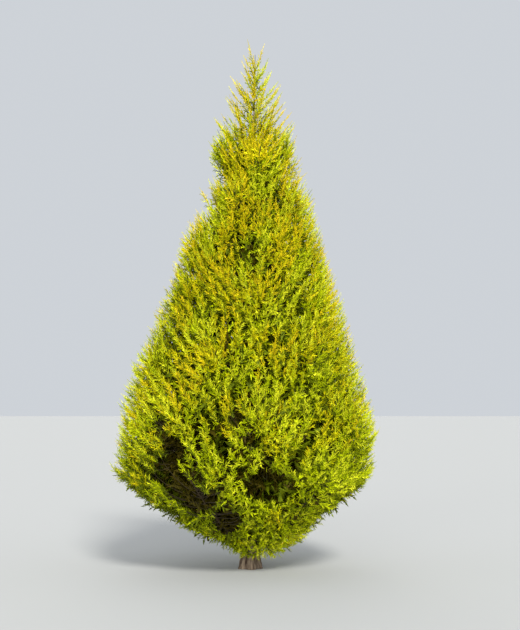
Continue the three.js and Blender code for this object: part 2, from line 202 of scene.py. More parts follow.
def linear(code):
    """An sRGB hex value as linear RGBA."""
    parts = [int(code[i : i + 2], 16) / 255 for i in (1, 3, 5)]
    return tuple(c / 12.92 if c <= 0.04045 else ((c + 0.055) / 1.055) ** 2.4 for c in parts) + (1.0,)


# Settings


def colour(name, description, code):
    look = {"subtype": "COLOR", "size": 4, "min": 0, "max": 1}
    return FloatVectorProperty(name=name, description=description, default=linear(code), **look)


def length(name, description, default):
    size = {"subtype": "DISTANCE", "unit": "LENGTH", "min": default / 4, "max": default * 4}
    return FloatProperty(name=name, description=description, default=default, **size)


class FoliageSettings(PropertyGroup):
    plume_spacing: length("Plume spacing", "How far apart plumes come up through the crown's face", 0.119)
    fine_length: length("Fine length", "How much of a plume's end has fine sprays", 0.23)
    broad_length: length("Broad length", "How much of a plume has broad sprays, before the fine ones", 0.15)
    spray_pitch: length("Spray pitch", "How far apart fine sprays sit near a plume's tip", 0.0195)
    broad_pitch: length("Broad spray pitch", "How far apart broad sprays sit near a plume's foot", 0.055)
    spray_length: length("Spray length", "A spray at the foot of a plume", 0.09)
    shoot_width: length("Shoot width", "Width of one leafy shoot, larger than life", 0.0102)
    old_foliage: IntProperty(name="Old foliage", description="Sprays inside a mass", default=190, min=0)
    seed: IntProperty(name="Seed", description="Seed of the plumes and sprays", default=7, min=0)


# Painted light and shade: each depth of light has its own colours, from the painted shade deep in the crown
# to painted highlights on the brightest tips, over the real yellower young tips. Each depth but the first
# holds a greener and a more golden hue.
class FoliageColours(PropertyGroup):
    shade: colour("Shade", "Foliage deep in the crown", "#667008")
    green: colour("Leaf green", "Greener foliage behind the tips", "#9FAB05")
    olive: colour("Olive", "More golden foliage behind the tips", "#ABAA05")
    lime: colour("Lime", "Greener foliage on the crown's face", "#C2CB08")
    gold: colour("Gold", "More golden foliage on the crown's face", "#D6CD0A")
    bright: colour("Bright lime", "The brightest greener tips", "#DCDD26")
    ripe: colour("Ripe gold", "The brightest golden tips", "#E8CF14")
    # Old foliage: browned, and darkened further as painted shade for the hollows.
    old: colour("Old foliage", "Foliage that has browned inside the crown", "#3F3704")


class BarkSettings(PropertyGroup):
    strip_width: length("Strip width", "Width of a strip of bark", 0.022)
    furrow_depth: length("Furrow depth", "How deep the furrows are between the strips", 0.007)
    strip_colour: colour("Strips", "Weathered faces of the trunk's strips", "#93806A")
    shaded_colour: colour("Shaded strips", "Strips of the limbs, shaded inside the crown", "#3B3210")
    furrow_colour: colour("Furrows", "Fresh bark in the furrows", "#3A261B")
    # Twigs: young bark colour, darkened as painted shade inside the crown.
    shaded_twig_colour: colour("Twigs", "Young bark on the twigs", "#3C3110")
    twig_radius: length("Twig radius", "A plume's twig where it leaves its limb", 0.0055)


class StageSettings(PropertyGroup):
    floor_colour: colour("Floor", "The pale floor", "#B4B5B4")
    backdrop_colour: colour("Backdrop", "The pale surround", "#DDE2E8")
    key_power: FloatProperty(name="Key light", description="Strength of the sun", default=3.3, min=0)
    fill_power: FloatProperty(name="Fill light", description="Strength of the sky", default=0.9, min=0)


# The rule of the crown


def seeded(seed):
    """The source's generator of even numbers from 0 to 1."""
    whole = 0xFFFFFFFF
    state = seed & whole

    def draw():
        nonlocal state
        state = (state + 0x6D2B79F5) & whole
        mixed = ((state ^ (state >> 15)) * (state | 1)) & whole
        mixed ^= (mixed + (((mixed ^ (mixed >> 7)) * (mixed | 61)) & whole)) & whole
        return ((mixed ^ (mixed >> 14)) & whole) / 4294967296

    return draw


def from_pairs(pairs, at):
    places, values = zip(*pairs)
    return np.interp(at, places, values)


def unit(vectors):
    return vectors / np.maximum(np.linalg.norm(vectors, axis=-1, keepdims=True), 1e-12)


def curve(start, bend, end, s):
    """Points on the curve from start to end that is drawn towards bend."""
    return (1 - s) ** 2 * start + 2 * s * (1 - s) * bend + s**2 * end


def run_of(paths):
    """The length of each path of points."""
    return np.linalg.norm(np.diff(paths, axis=-2), axis=-1).sum(-1)


def level_at(azimuth):
    """Level directions."""
    return np.stack([np.cos(azimuth), np.sin(azimuth), np.zeros_like(azimuth)], -1)


def turned(first, second, angle):
    """Directions at an angle from the first towards the second, which is square to it."""
    return first * np.cos(angle)[..., None] + second * np.sin(angle)[..., None]


def trunk_axis(height):
    height = np.asarray(height, float)
    x = TRUNK_LEAN * (height / TREE_HEIGHT) + TRUNK_SWAY * np.sin(height / 0.7)
    y = TRUNK_SWAY * (np.sin(height / 0.9 + 1) - math.sin(1))
    return np.stack([x, y, height], -1)


def trunk_radius(height):
    """The source's taper with its corners rounded off."""
    return sum(from_pairs(TRUNK_TAPER, max(0, height + step)) for step in (-0.05, -0.02, 0.02, 0.05)) / 4


def outline_radius(height, azimuth):
    return from_pairs(CROWN_OUTLINE, height) * (1 + from_pairs(FULLER_RIGHT, height) * np.cos(azimuth))


def from_trunk(points):
    """The direction of points from the trunk's axis, and their distance from it."""
    away = points - trunk_axis(points[..., 2])
    return np.arctan2(away[..., 1], away[..., 0]), np.hypot(away[..., 0], away[..., 1])


def depth_in_crown(points):
    """How deep points lie under the crown's outline. It is below 0 outside."""
    azimuth, distance = from_trunk(points)
    return outline_radius(points[..., 2], azimuth) - distance


def distance_to_line(points, line):
    nearest = np.full(len(points), np.inf)
    for start, end in zip(line[:-1], line[1:]):
        run = end - start
        along = np.clip((points - start) @ run / (run @ run), 0, 1)
        nearest = np.minimum(nearest, np.linalg.norm(points - start - along[:, None] * run, axis=1))
    return nearest


class Limb:
    """The line that a bough and its mass follow."""

    def __init__(self, tier, index, seed):
        name, count, turn, root, tip, bare, rise = tier
        draw = seeded(seed)
        self.name = f"{name}_{index + 1}"
        self.bare = bare
        jitter = (draw() * 2 - 1) * TURN_JITTER
        azimuth = math.radians(turn + 360 * index / count + jitter)
        tip_height = tip * (1 + (draw() * 2 - 1) * 0.02)
        reach = outline_radius(tip_height, azimuth) * TIP_INSET
        self.out = level_at(azimuth)
        self.foot = trunk_axis(root)
        self.tip = trunk_axis(tip_height) + self.out * reach
        self.bend = self.foot + self.out * reach * BEND_OUT
        self.bend[2] += (tip_height - root) * rise
        self.points = self.at(np.linspace(0, 1, AXIS_STEPS + 1))
        self.length = float(run_of(self.at(np.linspace(0, 1, 60))))
        self.size = 1 - 0.4 * (tip_height - 0.9) / 3.62

    def at(self, share):
        return curve(self.foot, self.bend, self.tip, np.asarray(share, float)[..., None])

    def frame_at(self, share):
        """Points, tangents and the two directions across."""
        s = np.asarray(share, float)[..., None]
        tangent = unit((1 - s) * (self.bend - self.foot) + s * (self.tip - self.bend))
        normal = np.broadcast_to(unit(np.cross(UP, self.out)), tangent.shape)
        return self.at(share), tangent, normal, unit(np.cross(tangent, normal))


limbs = [Limb(tier, i, 1000 * (row + 1) + i) for row, tier in enumerate(TIERS) for i in range(tier[1])]
leader_line = trunk_axis([TRUNK_TOP, TREE_HEIGHT])
FOLIAGE_NODES = [f"foliage_{limb.name}" for limb in limbs] + ["foliage_leader"]


def limb_spans(points):
    """How far points are from each limb."""
    return np.stack([distance_to_line(points, limb.points) for limb in limbs])


def reach_of(starts, directions, owner, depth):
    """How far one may go from each start, in strides, before leaving the space of its owner's mass."""
    reach, going = np.zeros(len(starts)), np.arange(len(starts))
    for k in range(1, int(CORE_WIDEST / STRIDE + 1e-6) + 1):
        points = starts[going] + directions[going] * (k * STRIDE)
        mine, rows = owner[going], np.arange(len(going))
        height, spans = points[:, 2], limb_spans(points)
        home = spans[mine, rows]
        others = spans > np.maximum(home + CELL_GAP, LIMB_GAP)
        others[mine, rows] = True
        ok = (height >= LOWEST_LEAF) & (depth_in_crown(points) >= depth[going]) & others.all(0)
        ok &= (height >= TRUNK_TOP) | (from_trunk(points)[1] >= from_pairs(TRUNK_TAPER, height) + LIMB_GAP)
        ok &= distance_to_line(points, leader_line) >= home + CELL_GAP
        for *middle, radius in POCKETS:
            ok &= np.linalg.norm(points - middle, axis=1) >= radius
        going = going[ok]
        reach[going] = k * STRIDE
    return reach


# Growing the plumes and their sprays

PATH_POINTS = 11
# How deep under the face plumes end, and how much deeper between two masses, over what width.
TIP_DEPTH = 0.045
BETWEEN_DEPTH = 0.03
BETWEEN_WIDTH = 0.16
# [height, degrees] by which plume tips rise.
TIP_RISE = [(0.3, 32), (1.0, 45), (2.5, 54), (4.5, 58)]
# The share of a plume's path that its fine sprays take at most.
FINE_SHARE = 0.85
# [height, size] of the spray at the very tip of a plume.
END_SPRAY = [(1, 0.75), (3, 0.85), (4.5, 1.3), (4.9, 1.7)]

# Sorts of spray: fine on the end of a plume, broad on the stretch before it, and slender at the very tip.
# Each has its count of shoots and their width.
FINE, BROAD, SLENDER = 0, 1, 2
SHOOTS = (6, 4, 5)
SHOOT_WIDTHS = (1.0, 1.7, 0.7)
KINDS = 4

# From dark to light, with a greener and a more golden colour for each depth of light but the first.
TONES = ("shade", "green", "olive", "lime", "gold", "bright", "ripe", "old")
LIGHT_LEVELS = (0.12, 0.43, 0.75)
GOLDEN_FROM = 0.1
# [height, light] in the neck and the leader, and [height, gold] all the way up.
TOP_LIGHT = [(3.6, 0), (4.2, -0.06), (4.7, 0.15)]
GOLD = [(0.4, -0.85), (0.9, -0.55), (1.6, 0.2), (3.0, 0.38), (3.6, 0.35), (4.2, 0.25)]

# Old foliage stays under this height, this deep in the crown, and out of the middle of a hollow.
OLD_TOP = 4.15
OLD_DEPTH = 0.14
OLD_IN_HOLLOW = 0.12


def ripple(points, wavelength, seed):
    """A smooth value from place to place, about 0 and mostly between -1 and 1, from crossed waves."""
    rng = np.random.default_rng(seed)
    waves = unit(rng.normal(size=(7, 3))) * (2 * math.pi / wavelength) * rng.uniform(0.7, 1.4, (7, 1))
    return np.sin(points @ waves.T + rng.uniform(0, 6.28, 7)).sum(-1) / 2.6


def from_hollow(points):
    """How far points are from the nearest hollow. It is below 0 inside."""
    spans = []
    for *middle, radius in HOLLOWS:
        spans.append(distance_to_line(points, np.array([middle, middle + HOLLOW_RUN])) - radius)
    return np.min(spans, axis=0)


def face_depth(height, azimuth):
    """How far the face of the foliage lies under the masses' outline."""
    places, left, right = zip(*FACE_FILL)
    side = np.cos(azimuth)
    fill = np.where(side < 0, np.interp(height, places, left), np.interp(height, places, right))
    depth = from_pairs(FACE_DEPTH, height) - np.abs(side) * fill
    depth = depth + np.abs(np.sin(azimuth)) * from_pairs(FRONT_DEPTH, height)
    for middle, direction, notch in NOTCHES:
        aside = np.angle(np.exp(1j * (azimuth - math.radians(direction))))
        away = -(((height - middle) / NOTCH_HEIGHT) ** 2) - (aside / NOTCH_WIDTH) ** 2
        depth = depth + notch * np.exp(away)
    return depth


def face_places(settings, rng):
    """Places spread evenly over the crown's face by the golden angle, closer together near the top."""
    height = np.linspace(LOWEST_LEAF + 0.03, FACE_TOP, 3000)
    radius = from_pairs(CROWN_OUTLINE, height)
    size = np.interp(height, [0.9, 4.52], [1, 0.6])
    share = radius * np.hypot(1, np.gradient(radius, height)) / (settings.plume_spacing * size**0.7) ** 2
    filled = np.cumsum(share) * (height[1] - height[0]) * 2 * math.pi
    rank = np.arange(int(filled[-1]))
    height = np.interp(rank + rng.uniform(0.1, 0.9, len(rank)), filled, height)
    azimuth = rank * math.radians(GOLDEN_ANGLE) + rng.normal(0, 0.25, len(rank)) * settings.plume_spacing
    return height, azimuth


def grow_plumes(settings, rng):
    """Every plume: its owner, its size, and its line from the limb up to the crown's face."""
    height, azimuth = face_places(settings, rng)
    out = level_at(azimuth)
    face = trunk_axis(height) + out * outline_radius(height, azimuth)[:, None]
    # As in the source, a place belongs to the limb that is nearest to it.
    spans = limb_spans(face)
    owner = spans.argmin(0)
    first, second = np.sort(spans, axis=0)[:2]
    # The face sinks a little between two masses, and plume tips end at uneven depths.
    between = np.clip(1 - (second - first) / BETWEEN_WIDTH, 0, 1)
    uneven = rng.gamma(1.4, 0.012, len(height)) + 0.012 * ripple(face, 0.45, 11)
    depth = TIP_DEPTH + BETWEEN_DEPTH * between**2 + uneven - 0.05 * (rng.random(len(height)) < 0.08)
    depth += face_depth(height, azimuth)
    tip = face - out * np.maximum(depth, 0)[:, None]
    keep = (first < distance_to_line(face, leader_line)) & (from_hollow(tip) >= 0)
    owner, out, tip, height = owner[keep], out[keep], tip[keep], height[keep]
    # The lone plumes come last.
    lone_height, lone_azimuth, lone_radius, lone_share = np.array(LONE_PLUMES).T
    lone_out = level_at(np.radians(lone_azimuth))
    lone_tip = trunk_axis(lone_height) + lone_out * lone_radius[:, None]
    owner = np.append(owner, limb_spans(lone_tip).argmin(0))
    out, tip = np.concatenate([out, lone_out]), np.concatenate([tip, lone_tip])
    height = np.append(height, lone_height)
    # A tip points outwards and upwards, flatter near the ground.
    rise = np.radians(from_pairs(TIP_RISE, height) + rng.normal(0, 7, len(height)))
    # Neighbours swing to the same side, so that they lie together in patches.
    swing = 0.5 * ripple(tip, 0.7, 23) + rng.normal(0, 0.2, len(height))
    heading = turned(turned(out, np.cross(UP, out), swing), UP, rise)
    root = np.empty_like(tip)
    for index, limb in enumerate(limbs):
        mine = owner == index
        share = np.linspace(max(limb.bare * 0.85, 0.06), 0.97, 40)
        away = np.linalg.norm(tip[mine][:, None] - limb.at(share)[None], axis=2)
        back = away.min(1) * rng.uniform(0.5, 0.9, mine.sum()) / limb.length
        root[mine] = limb.at(np.clip(share[away.argmin(1)] - back, share[0], 0.95))
    for k, share in enumerate(lone_share, len(tip) - len(lone_share)):
        root[k] = limbs[owner[k]].at(share)
    bend = tip - heading * (np.linalg.norm(tip - root, axis=1) * 0.5)[:, None]
    s = np.linspace(0, 1, PATH_POINTS)[:, None]
    path = curve(root[:, None], bend[:, None], tip[:, None], s)
    return {"owner": owner, "size": np.array([limb.size for limb in limbs])[owner], "path": path}


def leader_plumes(rng):
    """Shoots round the leader: those that make its outline to the left and right, those between them by
    the golden angle, and the ends of the topmost limbs."""
    ends = [(x, rng.uniform(-0.3, 0.3) * abs(x), z) for x, z in TOP_ENDS]
    for i in range(LEADER_SHOOTS):
        height = 4.28 + 0.8 * (i + 0.5) / LEADER_SHOOTS
        angle = math.radians(i * GOLDEN_ANGLE + 20)
        angle += 0.15 * math.sin(2 * angle)
        radius = outline_radius(height, angle) * rng.uniform(0.92, 1.1)
        ends.append(trunk_axis(height + 0.04) + radius * level_at(angle))
    ends = np.array(ends)
    foot = trunk_axis(np.minimum(ends[:, 2] - 0.9 * from_trunk(ends)[1] - 0.07, 5.0))
    # A spray at the tip makes up for the last stretch.
    tip = ends - 0.04 * unit(ends - foot)
    bend = foot * 0.45 + tip * 0.55 + (tip - foot) * (0.05, 0.05, -0.06)
    path = curve(foot[:, None], bend[:, None], tip[:, None], np.linspace(0, 1, PATH_POINTS)[:, None])
    limb_ends = [limb.at(np.linspace(0.35, 0.95, PATH_POINTS)) for limb in limbs if limb.name in TOP_LIMBS]
    path = np.concatenate([path, limb_ends])
    size = np.interp(path[:, -1, 2], [4.3, 4.7], [0.5, 0.15])
    return {"owner": np.full(len(path), -1), "size": size, "path": path}


def sprays_of(plumes, settings, rng):
    """Every spray: where it is, its heading, face, length, share along its plume, plume and sort."""
    rows = []
    for i, (path, size, run) in enumerate(zip(plumes["path"], plumes["size"], run_of(plumes["path"]))):
        on_leader = plumes["owner"][i] < 0
        small, fine_run, broad_run = 0.6, run * FINE_SHARE, run * 0.1
        if not on_leader:
            small = 0.65 + 0.35 * size
            fine_run = min(settings.fine_length * small, fine_run)
            broad_run = min(settings.broad_length * small, run - fine_run)
        fine = max(4, round(fine_run / (settings.spray_pitch * small)))
        broad = round(broad_run / (settings.broad_pitch * small))
        fine_from = 1 - fine_run / run
        broad_from = max(0.02, fine_from - broad_run / run)
        along = np.linspace(broad_from, fine_from, broad, endpoint=False)
        along = np.append(along, np.linspace(fine_from, 1, fine))
        rank = np.arange(fine + broad)
        sort = np.where((rank < broad) | on_leader, BROAD, FINE)
        sort[-1] = SLENDER
        at = along * (PATH_POINTS - 1)
        low = np.minimum(at.astype(int), PATH_POINTS - 2)
        part = (at - low)[:, None]
        place = path[low] * (1 - part) + path[low + 1] * part
        axis = unit(path[low + 1] - path[low])
        helper = unit(np.cross(axis, np.array([0.31, 0.57, 0.1])))
        turn = rng.uniform(0, 6.28) + math.radians(GOLDEN_ANGLE) * rank
        out = turned(helper, np.cross(axis, helper), turn)
        # Sprays close up towards the tip, and get shorter.
        spread = np.interp(along, [broad_from, fine_from, 1], [58, 48, 16]) + rng.normal(0, 6, len(rank))
        spread = np.radians(spread)
        spread[-1] = 0.05
        heading = unit(turned(axis, out, spread) + UP * 0.12)
        swell = np.where(rank < broad, 1.35, np.interp(along, [fine_from, 1], [1.1, 0.62]))
        swell[-1] = from_pairs(END_SPRAY, place[-1, 2])
        spray_length = settings.spray_length * small * swell * rng.uniform(0.82, 1.15, len(rank))
        out_along = (along - broad_from) / (1 - broad_from)
        rows.append((place, heading, out, spray_length, out_along, np.full(len(rank), i), sort))
    keys = ("place", "heading", "out", "length", "along", "plume", "sort")
    return {key: np.concatenate(column) for key, column in zip(keys, zip(*rows))}


def turn_of(heading, facing, rng, wobble):
    """XYZ Euler angles that lay a spray along its heading, with its face more or less along facing."""
    across = unit(np.cross(facing, heading) + rng.normal(0, wobble, heading.shape))
    across = unit(across - heading * (across * heading).sum(1, keepdims=True))
    face = np.cross(heading, across)
    pitch = np.arcsin(np.clip(-heading[:, 2], -1, 1))
    roll = np.arctan2(across[:, 2], face[:, 2])
    yaw = np.arctan2(heading[:, 1], heading[:, 0])
    return np.stack([roll, pitch, yaw], 1)


def outwards(points):
    """Level directions away from the trunk."""
    return unit((points - trunk_axis(points[:, 2])) * (1, 1, 0))


def tone_of(sprays, rng):
    """Which colour each spray is dealt: lighter towards the plume tips and the crown's face as painted
    light, darker deep in the crown as painted shade, over the real yellower young tips; and in each depth of
    light a greener or a more golden one, which goes by plume, by patch and by height."""
    place, along, plume = sprays["place"], sprays["along"], sprays["plume"]
    x, height = place[:, 0], place[:, 2]
    plumes = plume.max() + 1
    depth = np.maximum(depth_in_crown(place), 0)
    # Painted light and shade: lighter towards the plume tips and higher up, darker deeper in the crown.
    glow = 0.44 + 0.36 * along - 1.5 * depth + 0.15 * height / TREE_HEIGHT + 0.1 * ripple(place, 1.1, 37)
    by_plume = rng.normal(0, 0.04, plumes)[plume]
    glow += from_pairs(TOP_LIGHT, height) + by_plume + rng.normal(0, 0.33, len(glow))
    glow -= 0.5 * np.clip(1 - from_hollow(place) / HOLLOW_SHADE, 0, 1)
    # Painted shade: the skirt is darker, most of all to the left and right.
    low, left, right = np.clip(1.5 - height, 0, 0.6), np.clip(-x - 0.2, 0, 0.8), np.clip(x - 0.3, 0, 0.7)
    glow -= low * (0.55 * left + 0.3 * right)
    # More of the sprays are light on the sunny side, in front.
    glow += 0.17 * np.clip(-outwards(place)[:, 1], 0, 1) ** 4
    gold = from_pairs(GOLD, height) - 0.15 * x
    by_plume = rng.normal(0, 0.4, plumes)[plume]
    gold += 0.9 * ripple(place, 0.5, 41) + by_plume + rng.normal(0, 0.2, len(glow))
    light = np.digitize(glow, LIGHT_LEVELS)
    # Only the upper crown has many tips of the ripest gold.
    gold -= (light == 3) * np.interp(height, [2.2, 3.4], [0.6, 0])
    return np.where(light == 0, 0, 2 * light - 1 + (gold > GOLDEN_FROM))


def grown():
    """The plumes, their sprays and the old foliage."""
    settings = bpy.context.scene.cypress_foliage
    rng = np.random.default_rng(settings.seed)
    plumes = grow_plumes(settings, rng)
    shoots = leader_plumes(rng)
    plumes = {key: np.concatenate([plumes[key], shoots[key]]) for key in plumes}
    sprays = sprays_of(plumes, settings, rng)
    # Only sprays that stay near the solids, above the ground and out of the hollows are kept.
    end = sprays["place"] + sprays["heading"] * sprays["length"][:, None]
    low, high = (np.array(corner) for corner in CAD_BOX)
    room = (high - low) * 0.03 + 0.006
    clear = ((end > low - room) & (end < high + room)).all(1) & (end[:, 2] > 0.02)
    clear &= from_hollow((sprays["place"] + end) / 2) >= 0.02
    sprays = {key: column[clear] for key, column in sprays.items()}
    place = sprays["place"]
    facing = unit(sprays["out"] * 0.5 + outwards(place) * 0.8 + UP * 0.35)
    sprays = {
        "place": place,
        "turn": turn_of(sprays["heading"], facing, rng, 0.45),
        "size": sprays["length"],
        "kind": rng.integers(0, KINDS, len(place)) + KINDS * sprays["sort"],
        "tone": tone_of(sprays, rng),
    }
    return {"plumes": plumes, "sprays": sprays, "old": old_sprays(settings, rng)}


def old_sprays(settings, rng):
    """Old foliage inside each mass, which closes the view through the crown."""
    rows = []
    for index, limb in enumerate(limbs):
        i = np.arange(round(settings.old_foliage * limb.size**0.6))
        order = 0.02 + 0.9 * ((i * PLASTIC_SHARE + 0.25) % 1)
        share = limb.bare * 0.8 + (1 - limb.bare * 0.8) * order
        point, tangent, normal, binormal = limb.frame_at(share)
        side = turned(normal, binormal, 2 * math.pi * ((i * GOLDEN_SHARE + 0.1) % 1))
        rows.append((np.full(len(i), index), point, tangent, side, np.full(len(i), limb.size)))
    owner, point, tangent, side, size = (np.concatenate(column) for column in zip(*rows))
    room = reach_of(point, side, owner, CORE_DEPTH * size)
    place = point + side * (room * rng.uniform(0.1, 0.88, len(room)))[:, None]
    heading = unit(tangent * 0.5 + side * 0.8 + rng.normal(0, 0.35, side.shape))
    # A hollow shows it, so it is smaller there and there is more of it.
    shown = from_hollow(place) < HOLLOW_VIEW
    again = np.repeat(np.arange(len(place)), np.where(shown, 4, 1))
    place, side, size, shown = place[again], side[again], size[again], shown[again]
    heading = unit(heading[again] + rng.normal(0, 0.4, side.shape))
    place = place + rng.normal(0, 0.03, side.shape) * shown[:, None]
    reach = settings.spray_length * np.where(shown, 1.7, 3.2) * size**0.7
    end = place + heading * reach[:, None]
    cover = OLD_DEPTH + np.maximum(face_depth(end[:, 2], from_trunk(end)[0]), 0)
    keep = (depth_in_crown(end) > cover) & (end[:, 2] < OLD_TOP)
    keep &= from_hollow(place * 0.3 + end * 0.7) >= -OLD_IN_HOLLOW
    place, heading, reach, side, shown = place[keep], heading[keep], reach[keep], side[keep], shown[keep]
    # Some of it has browned, and all that a hollow shows. The browned colour is also dark as painted shade,
    # so that the hollows look dark.
    shaded = (rng.random(len(place)) < 0.85) & ~shown
    return {
        "place": place,
        "turn": turn_of(heading, side, rng, 0.8),
        "size": reach * rng.uniform(0.8, 1.1, len(place)),
        "kind": rng.integers(KINDS * BROAD, KINDS * (BROAD + 1), len(place)),
        "tone": np.where(shaded, TONES.index("shade"), TONES.index("old")),
    }


# Meshes


def linked(name, data):
    """A new object in the scene."""
    made = bpy.data.objects.new(name, data)
    bpy.context.scene.collection.objects.link(made)
    return made


def new_mesh(name, points, edges=(), faces=()):
    mesh = bpy.data.meshes.new(name)
    mesh.from_pydata([tuple(p) for p in points], edges, faces)
    mesh.update()
    return mesh


def set_attribute(mesh, name, kind, values):
    attribute = mesh.attributes.new(name, kind, "POINT")
    values = np.ascontiguousarray(values, np.int32 if kind == "INT" else np.float32)
    attribute.data.foreach_set("vector" if kind == "FLOAT_VECTOR" else "value", values.ravel())


def spray_mesh(kind, settings):
    """A feathery spray, 1 long: an axis with leafy shoots on both sides, held close to it on a slender
    one. Each shoot is a closed three-sided spike, rooted in the axis."""
    rng = np.random.default_rng(50 + kind)
    sort = kind // KINDS
    shoots, slender = SHOOTS[sort], sort == SLENDER
    half = 0.5 * (settings.shoot_width * SHOOT_WIDTHS[sort]) / settings.spray_length
    points, faces = [], []

    def spike(start, direction, reach, width):
        direction = unit(direction)
        across = unit(np.cross(direction, UP + rng.normal(0, 0.25, 3)))
        thick = np.cross(direction, across)
        first = len(points)
        sides = (across, thick * 0.7 - across * 0.6, -thick * 0.7 - across * 0.6)
        points.extend([*(start + side * width for side in sides), start + direction * reach])
        faces.append((first, first + 2, first + 1))
        faces.extend((first + k, first + (k + 1) % 3, first + 3) for k in range(3))

    axis = np.array([1, rng.uniform(-0.05, 0.05), rng.uniform(0.03, 0.12)])
    spike(np.zeros(3), axis, 1.0, half)
    for k in range(shoots):
        along = 0.05 + 0.75 * k / (shoots - 1)
        hand = 1 if k % 2 else -1
        open_angle = math.radians(rng.uniform(14, 22) if slender else rng.uniform(34, 48) - 8 * along)
        direction = np.array([math.cos(open_angle), hand * math.sin(open_angle), rng.normal(0.08, 0.22)])
        reach = np.interp(along, [0, 0.25, 0.6, 0.9], [0.44, 0.52, 0.42, 0.3]) * rng.uniform(0.8, 1.15)
        if slender:
            reach *= 0.6
        spike(axis * along, direction, reach, half * rng.uniform(0.85, 1.1))
    return new_mesh("spray", points, faces=faces)


def node(tree, kind, values=None, links=None, **settings):
    """Adds a node with its settings, values and links. A linked node gives its first output."""
    made = tree.nodes.new(kind)
    for key, value in settings.items():
        setattr(made, key, value)
    for key, value in (values or {}).items():
        made.inputs[key].default_value = value
    for key, source in (links or {}).items():
        tree.links.new(getattr(source, "outputs", [source])[0], made.inputs[key])
    return made


def start_tree(name, *inputs):
    """A geometry node tree with a geometry input, named inputs and the material."""
    tree = bpy.data.node_groups.new(name, "GeometryNodeTree")
    tree.interface.new_socket("Geometry", in_out="OUTPUT", socket_type="NodeSocketGeometry")
    for label, kind in (("Geometry", "Geometry"), *inputs, ("Material", "Material")):
        tree.interface.new_socket(label, in_out="INPUT", socket_type=f"NodeSocket{kind}")
    return tree, node(tree, "NodeGroupInput").outputs


def end_tree(tree, given, shape):
    """Makes the instances real, sets the material and puts the shape out."""
    real = node(tree, "GeometryNodeRealizeInstances", links={"Geometry": shape})
    links = {"Geometry": real, "Material": given["Material"]}
    node(tree, "NodeGroupOutput", links={"Geometry": node(tree, "GeometryNodeSetMaterial", links=links)})
    return tree


# What the spray tree reads from each point.
SPRAY_ATTRIBUTES = (("turn", "FLOAT_VECTOR"), ("size", "FLOAT"), ("kind", "INT"))


def spray_tree():
    """Sets a spray on every point, with its own turn, size and kind."""
    tree, given = start_tree("Sprays on points", ("Sprays", "Collection"))
    turn, size, kind = (
        node(tree, "GeometryNodeInputNamedAttribute", {"Name": name}, data_type=data_type)
        for name, data_type in SPRAY_ATTRIBUTES
    )
    apart = {"Separate Children": True, "Reset Children": True}
    kinds = node(tree, "GeometryNodeCollectionInfo", apart, {"Collection": given["Sprays"]})
    links = {"Points": given["Geometry"], "Instance": kinds, "Instance Index": kind}
    links.update({"Rotation": turn, "Scale": size})
    placed = node(tree, "GeometryNodeInstanceOnPoints", {"Pick Instance": True}, links)
    return end_tree(tree, given, placed)


def twig_tree():
    """Turns lines into tapering tubes."""
    tree, given = start_tree("Twigs along lines", ("Sides", "Int"))
    girth = node(tree, "GeometryNodeInputNamedAttribute", {"Name": "girth"}, data_type="FLOAT")
    lines = node(tree, "GeometryNodeMeshToCurve", links={"Mesh": given["Geometry"]})
    sides = {"Resolution": given["Sides"]}
    profile = node(tree, "GeometryNodeCurvePrimitiveCircle", {"Radius": 1.0}, sides)
    links = {"Curve": lines, "Profile Curve": profile, "Scale": girth}
    tube = node(tree, "GeometryNodeCurveToMesh", {"Fill Caps": True}, links)
    return end_tree(tree, given, tube)


def bark_tree():
    """Raises strips of bark on a trunk or limb and sinks the furrows between them."""
    sizes = ((label, "Float") for label in ("Strip width", "Furrow depth", "Seed"))
    tree, given = start_tree("Bark relief", *sizes)
    grain = node(tree, "GeometryNodeInputNamedAttribute", {"Name": "grain"}, data_type="FLOAT_VECTOR")
    relief = node(tree, "GeometryNodeInputNamedAttribute", {"Name": "relief"}, data_type="FLOAT")
    scale = node(tree, "ShaderNodeMath", {0: 1.0}, {1: given["Strip width"]}, operation="DIVIDE")
    strips = node(
        tree, "ShaderNodeTexNoise", {"Detail": 3.0, "Roughness": 0.55, "Distortion": 0.4},
        {"Vector": grain, "W": given["Seed"], "Scale": scale}, noise_dimensions="4D",
    )
    ridged = node(
        tree, "ShaderNodeMapRange", {"From Min": 0.36, "From Max": 0.62, "To Min": -1.0, "To Max": 0.35},
        {"Value": strips}, interpolation_type="SMOOTHSTEP",
    )
    deep = ridged
    for share in (relief, given["Furrow depth"]):
        deep = node(tree, "ShaderNodeMath", links={0: deep, 1: share}, operation="MULTIPLY")
    normal = node(tree, "GeometryNodeInputNormal")
    shift = node(tree, "ShaderNodeVectorMath", links={0: normal, "Scale": deep}, operation="SCALE")
    raised = node(tree, "GeometryNodeSetPosition", links={"Geometry": given["Geometry"], "Offset": shift})
    stored = node(
        tree, "GeometryNodeStoreNamedAttribute", {"Name": "furrow"}, {"Geometry": raised, "Value": strips},
        data_type="FLOAT", domain="POINT",
    )
    return end_tree(tree, given, stored)


def grow_piece(name, base_mesh, tree, inputs, nodes, smooth=False):
    """The piece that a tree makes of a base mesh, as a plain mesh that replaces its CAD nodes."""
    base = linked("base", base_mesh)
    modifier = base.modifiers.new("grow", "NODES")
    modifier.node_group = tree
    sockets = {item.name: item.identifier for item in tree.interface.items_tree if item.in_out == "INPUT"}
    for key, value in inputs.items():
        modifier[sockets[key]] = value
    depsgraph = bpy.context.evaluated_depsgraph_get()
    shaped = base.evaluated_get(depsgraph)
    mesh = bpy.data.meshes.new_from_object(shaped, preserve_all_data_layers=True, depsgraph=depsgraph)
    bpy.data.objects.remove(base)
    mesh.name = name
    if not len(mesh.polygons):
        raise RuntimeError(f"{name} came out empty")
    if smooth:
        mesh.shade_smooth()
    made = linked(name, mesh)
    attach(made, "root")
    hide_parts(*nodes)


# Materials


